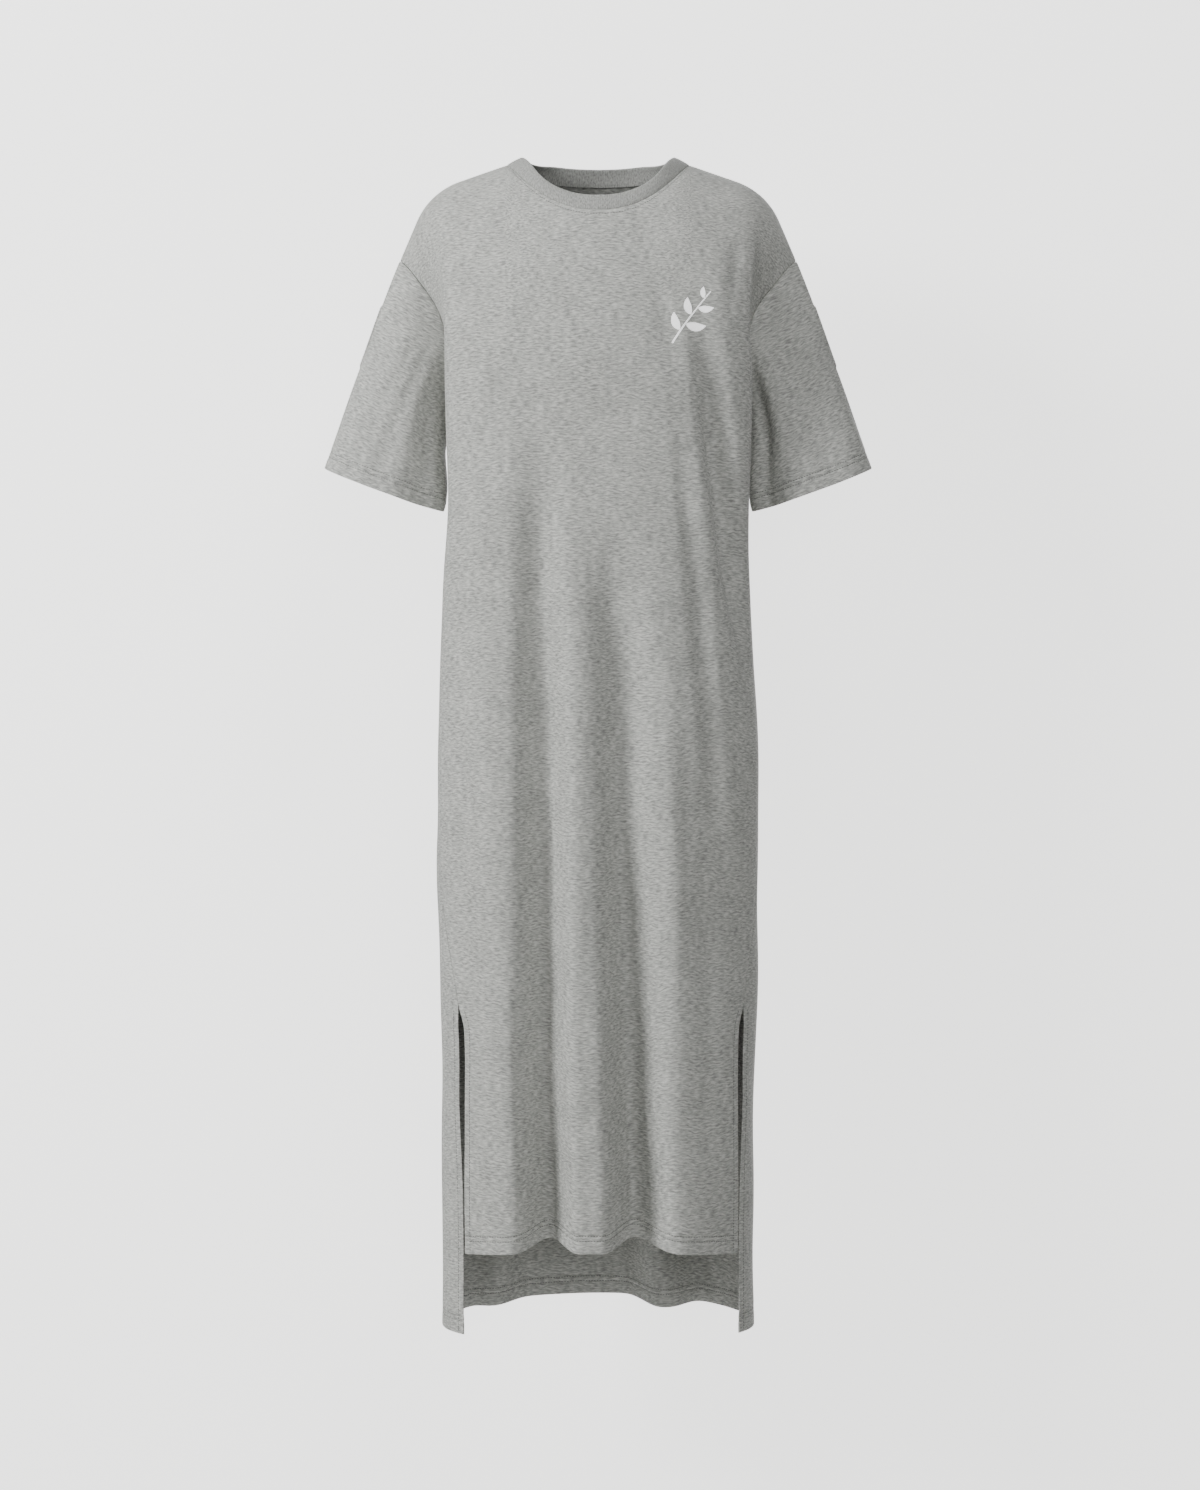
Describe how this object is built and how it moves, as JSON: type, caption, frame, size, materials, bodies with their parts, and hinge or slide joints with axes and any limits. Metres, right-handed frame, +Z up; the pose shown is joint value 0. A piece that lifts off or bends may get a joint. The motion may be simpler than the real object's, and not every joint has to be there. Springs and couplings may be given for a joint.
{
  "type": "t-shirt midi dress",
  "caption": "Loose jersey T-shirt midi dress with a rib crew neck, dropped short sleeves, side slits and a longer back hem, shown filled out as worn.",
  "frame": {"origin": "midway between the two shoulders, level with the shoulder seams beside the neck rib, where the dress rests on its wearer", "axes": "+Z up along the body, -Y the way the wearer faces, +X the wearer's left"},
  "size_m": [0.585, 0.2311, 1.2387],
  "materials": {
    "front_jersey": "matt heather-grey single jersey",
    "back_jersey": "matt heather-grey single jersey",
    "left_sleeve_jersey": "matt heather-grey single jersey",
    "right_sleeve_jersey": "matt heather-grey single jersey",
    "rib_knit": "matt heather-grey rib knit"
  },
  "bodies": {
    "root": {"front_panel": "front_jersey", "back_panel": "back_jersey", "sleeve_left": "left_sleeve_jersey", "sleeve_right": "right_sleeve_jersey", "neck_rib": "rib_knit"}
  },
  "joints": []
}
